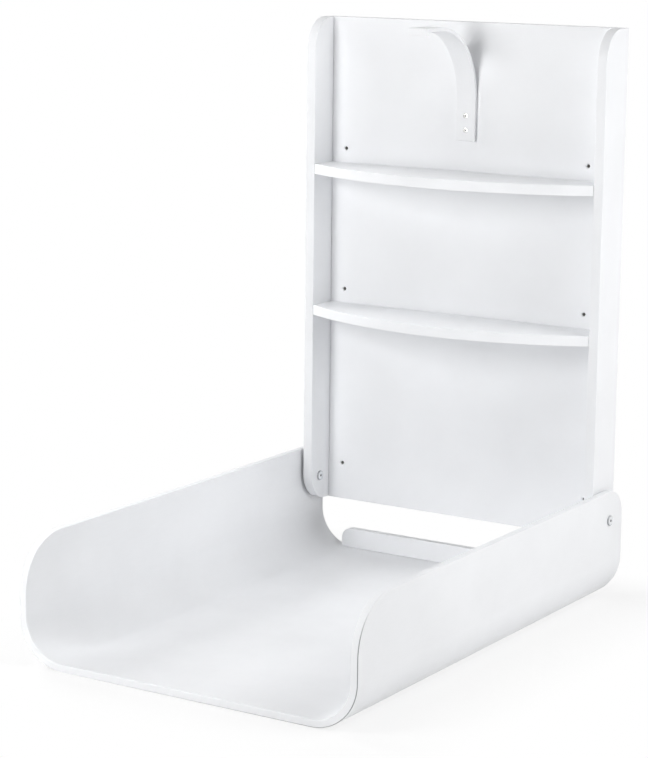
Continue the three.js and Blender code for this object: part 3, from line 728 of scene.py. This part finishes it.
def rear_lip():
    """The low board across the rear of the tray's floor, scribed to the bends at its ends."""
    low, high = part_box("rear_lip")
    half = high.x
    spring = TRAY_LOW.z + BEND_RADIUS
    bend_x = TRAY_HIGH.x - BEND_RADIUS
    scribe = BEND_RADIUS - PLY - LIP_SCRIBE_GAP
    reach = math.degrees(math.asin((half - bend_x) / scribe))
    radius = LIP_CORNER_RADIUS
    outline = arc((bend_x, spring), scribe, 270, 270 + reach, LIP_SCRIBE_STEPS)
    outline += arc((half - radius, high.z - radius), radius, 0, 90, LIP_CORNER_STEPS)
    outline += arc((-half + radius, high.z - radius), radius, 90, 180, LIP_CORNER_STEPS)
    outline += arc((-bend_x, spring), scribe, 270 - reach, 270, LIP_SCRIBE_STEPS)
    piece = plate("rear_lip_board", outline, low.y, high.y, "uwv", BOARD_WHITE)
    ease(piece, LIP_ARRIS, angle=60)
    drill(piece, dowel_holes(LIP_DOWELS, UP, LIP_DOWEL_HOLE_RADIUS))
    place(piece, "tray", "white_board", "rear_lip")


# Pivots

def paint_rim_shade(piece, origin, axis, head):
    """Gives the rounded rim and the side of a head a darker, rougher copy of its plating, as painted shade."""
    piece.data.materials.append(ZINC_PAINTED_SHADE)
    along = Vector(axis)
    for face in piece.data.polygons:
        offset = face.center - Vector(origin)
        if (offset - offset.dot(along) * along).length > head - PIVOT_RIM_SHADE_WIDTH:
            face.material_index = 1


def pivot_part(node, origin, axis, head, stem):
    """A sleeve or bolt: a low round head with a hex socket, and the stem whose profile is given."""
    rim = [(head - inset, depth) for inset, depth in PIVOT_HEAD_ROUND]
    profile = [(0, 0), *rim, (head, PIVOT_HEAD_DEPTH), *stem]
    piece = turned(f"{node}_turned", profile, origin, axis, ZINC)
    paint_rim_shade(piece, origin, axis, head)
    drill(piece, [hex_socket(origin, axis, *PIVOT_SOCKET)])
    place(piece, "shelf_unit", "zinc_steel", node)


def pivot_sleeve(hand_name, hand):
    """The sleeve through side and tray wall, with its head inside the side."""
    node = f"pivot_sleeve_{hand_name}"
    low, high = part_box(node)
    face, end = sorted((abs(low.x), abs(high.x)))
    shank, inside = SLEEVE_SHANK_RADIUS, SLEEVE_BORE_RADIUS
    length = end - face
    bore_end = length - SLEEVE_BORE_LENGTH
    stem = [(shank, PIVOT_HEAD_DEPTH), (shank, length), (inside, length), (inside, bore_end), (0, bore_end)]
    pivot_part(node, (hand * face, PIVOT.y, PIVOT.z), (hand, 0, 0), (high.y - low.y) / 2, stem)


def pivot_bolt(hand_name, hand):
    """The bolt that enters the sleeve from outside the tray."""
    node = f"pivot_bolt_{hand_name}"
    low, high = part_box(node)
    start, face = sorted((abs(low.x), abs(high.x)))
    shank, length = BOLT_SHANK_RADIUS, face - start
    stem = [(shank, PIVOT_HEAD_DEPTH), (shank, length), (0, length)]
    pivot_part(node, (hand * face, PIVOT.y, PIVOT.z), (-hand, 0, 0), (high.y - low.y) / 2, stem)


def pivot_spacer(hand_name, hand):
    """The ring that keeps the tray's wall off the side."""
    node = f"pivot_spacer_{hand_name}"
    low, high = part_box(node)
    start = min(abs(low.x), abs(high.x))
    thick = high.x - low.x
    outer, inner = (high.y - low.y) / 2, SLEEVE_HOLE_RADIUS
    profile = [
        (inner, 0), (outer - SPACER_ROUND, 0), (outer, SPACER_ROUND), (outer, thick - SPACER_ROUND),
        (outer - SPACER_ROUND, thick), (inner, thick),
    ]
    origin, axis = (hand * start, PIVOT.y, PIVOT.z), (hand, 0, 0)
    piece = turned(f"{node}_ring", profile, origin, axis, NYLON, ring=True)
    place(piece, "shelf_unit", "nylon_spacer", node)


back_panel()
for level in ("upper", "lower"):
    shelf_board(level)
    catch_screw(level)
catch_strip()
tray_shell()
rear_lip()
for hand_name, hand in HANDS.items():
    side_board(hand_name)
    pivot_sleeve(hand_name, hand)
    pivot_bolt(hand_name, hand)
    pivot_spacer(hand_name, hand)
for node in SHELF_DOWELS + PANEL_DOWELS + LIP_DOWELS:
    frame["nodes"][node].data.materials.clear()
    frame["nodes"][node].data.materials.append(BEECH)


# Studio

FLOOR_SIZE = 120.0
FLOOR_GAP = 0.0002  # between the floor and the tray's underside
FLOOR_PAPER = (0.9, 0.9, 0.9, 1)
FLOOR_SHADOW = 0.22  # share of the floor's own shading that the camera sees beside the tray
FLOOR_FADE = 0.17  # distance from the tray at which the floor has gone to plain white
SKY_TINT = (0.97, 0.98, 1.0, 1)
SKY_STRENGTH = 0.01
LAMP_AIM = Vector((0, -0.3, -0.1))  # about the middle of the unit with its tray open

# The photograph's viewpoint, fitted to the object's edges
FRAME_WIDTH = 648  # pixels
FOCAL_LENGTH = 2475.41  # pixels
CAMERA_PLACE = (2.01043, -3.64691, 0.62707)
CAMERA_YAW = 32.240
CAMERA_PITCH = 11.074
CAMERA_ROLL = 0.637
SENSOR_WIDTH = 36.0  # millimetres
CAMERA_RANGE = 200.0


def seen_directly(tree):
    """1 for rays from the camera, and for what metal and glass mirror of the background."""
    path = tree.nodes.new("ShaderNodeLightPath")
    total = path.outputs["Is Camera Ray"]
    for name in ("Is Glossy Ray", "Is Transmission Ray"):
        node = tree.nodes.new("ShaderNodeMath")
        node.operation = "ADD"
        node.use_clamp = True
        tree.links.new(total, node.inputs[0])
        tree.links.new(path.outputs[name], node.inputs[1])
        total = node.outputs["Value"]
    return total


def footprint_distance(tree):
    """How far a point of the floor lies outside the tray's footprint."""
    centre = (TRAY_LOW + TRAY_HIGH) / 2
    half = (TRAY_HIGH - TRAY_LOW) / 2
    steps = (
        ("SUBTRACT", centre), ("ABSOLUTE", None), ("SUBTRACT", half),
        ("MAXIMUM", (0, 0, 0)), ("LENGTH", None),
    )
    result = tree.nodes.new("ShaderNodeTexCoord").outputs["Object"]
    for operation, operand in steps:
        node = tree.nodes.new("ShaderNodeVectorMath")
        node.operation = operation
        tree.links.new(result, node.inputs[0])
        if operand is not None:
            node.inputs[1].default_value = operand
        result = node.outputs["Value" if operation == "LENGTH" else "Vector"]
    return result


def studio_floor():
    """White paper. The camera sees some of its shading round the tray, and plain white further out."""
    half = FLOOR_SIZE / 2
    level = TRAY_LOW.z - FLOOR_GAP
    corners = [(-half, -half, level), (half, -half, level), (half, half, level), (-half, half, level)]
    material = bpy.data.materials.new("studio_floor")
    tree = empty_tree(material)
    output = tree.nodes.new("ShaderNodeOutputMaterial")
    paper = tree.nodes.new("ShaderNodeBsdfDiffuse")
    paper.inputs["Color"].default_value = FLOOR_PAPER
    white = tree.nodes.new("ShaderNodeEmission")
    white.inputs["Strength"].default_value = 1.0
    fade = tree.nodes.new("ShaderNodeMapRange")
    fade.interpolation_type = "SMOOTHSTEP"
    fade.inputs["From Max"].default_value = FLOOR_FADE
    fade.inputs["To Min"].default_value = 1 - FLOOR_SHADOW
    share = tree.nodes.new("ShaderNodeMath")
    share.operation = "MULTIPLY"
    blend = tree.nodes.new("ShaderNodeMixShader")
    tree.links.new(footprint_distance(tree), fade.inputs["Value"])
    tree.links.new(seen_directly(tree), share.inputs[0])
    tree.links.new(fade.outputs["Result"], share.inputs[1])
    tree.links.new(share.outputs["Value"], blend.inputs["Fac"])
    tree.links.new(paper.outputs["BSDF"], blend.inputs[1])
    tree.links.new(white.outputs["Emission"], blend.inputs[2])
    tree.links.new(blend.outputs["Shader"], output.inputs["Surface"])
    floor = mesh_object("studio_floor", corners, [(0, 1, 2, 3)], material)


def softbox(name, azimuth, elevation, distance, width, height, energy):
    """A soft light that faces the unit, from an azimuth to the right of straight ahead."""
    data = bpy.data.lights.new(name, "AREA")
    data.shape = "RECTANGLE"
    data.size, data.size_y = width, height
    data.energy = energy
    lamp = bpy.data.objects.new(name, data)
    a, e = math.radians(azimuth), math.radians(elevation)
    back = Vector((math.sin(a) * math.cos(e), -math.cos(a) * math.cos(e), math.sin(e)))
    lamp.location = LAMP_AIM + back * distance
    lamp.rotation_mode = "QUATERNION"
    lamp.rotation_quaternion = (-back).to_track_quat("-Z", "Y")
    lamp.visible_camera = False
    bpy.context.scene.collection.objects.link(lamp)


def studio_world():
    """A faint sky for light, seen as plain white."""
    world = bpy.data.worlds.new("studio")
    bpy.context.scene.world = world
    tree = empty_tree(world)
    output = tree.nodes.new("ShaderNodeOutputWorld")
    light = tree.nodes.new("ShaderNodeBackground")
    light.inputs["Color"].default_value = SKY_TINT
    light.inputs["Strength"].default_value = SKY_STRENGTH
    shown = tree.nodes.new("ShaderNodeBackground")
    shown.inputs["Color"].default_value = (1, 1, 1, 1)
    shown.inputs["Strength"].default_value = 1.0
    blend = tree.nodes.new("ShaderNodeMixShader")
    tree.links.new(seen_directly(tree), blend.inputs["Fac"])
    tree.links.new(light.outputs["Background"], blend.inputs[1])
    tree.links.new(shown.outputs["Background"], blend.inputs[2])
    tree.links.new(blend.outputs["Shader"], output.inputs["Surface"])


def camera():
    """A camera at the photograph's viewpoint."""
    yaw, pitch, roll = (math.radians(angle) for angle in (CAMERA_YAW, CAMERA_PITCH, CAMERA_ROLL))
    ahead = Vector((-math.sin(yaw) * math.cos(pitch), math.cos(yaw) * math.cos(pitch), -math.sin(pitch)))
    level = Vector((math.cos(yaw), math.sin(yaw), 0))
    up = level.cross(ahead)
    right = math.cos(roll) * level + math.sin(roll) * up
    top = -math.sin(roll) * level + math.cos(roll) * up
    data = bpy.data.cameras.new("photo_camera")
    data.sensor_fit = "HORIZONTAL"
    data.sensor_width = SENSOR_WIDTH
    data.lens = FOCAL_LENGTH * SENSOR_WIDTH / FRAME_WIDTH
    data.clip_end = CAMERA_RANGE
    eye = bpy.data.objects.new("photo_camera", data)
    turn = Matrix((right, top, -ahead)).transposed().to_4x4()
    eye.matrix_world = Matrix.Translation(CAMERA_PLACE) @ turn
    bpy.context.scene.collection.objects.link(eye)
    bpy.context.scene.camera = eye


studio_floor()
# Name, azimuth and elevation in degrees, distance, width and height in metres, energy in watts
softbox("key", -21, 26, 1.8, 0.6, 0.7, 15.5)
softbox("front", -10, 0, 3.5, 1.1, 0.6, 25)
softbox("left", -95, 28, 1.8, 0.7, 0.7, 17)
softbox("right_high", 105, 40, 3.2, 1.4, 1.4, 36.5)
softbox("right_low", 90, 10, 1.8, 0.7, 0.7, 12.7)
softbox("top", 0, 70, 2.6, 1.4, 1.4, 10)
studio_world()
camera()
bpy.context.scene.view_settings.view_transform = "Standard"
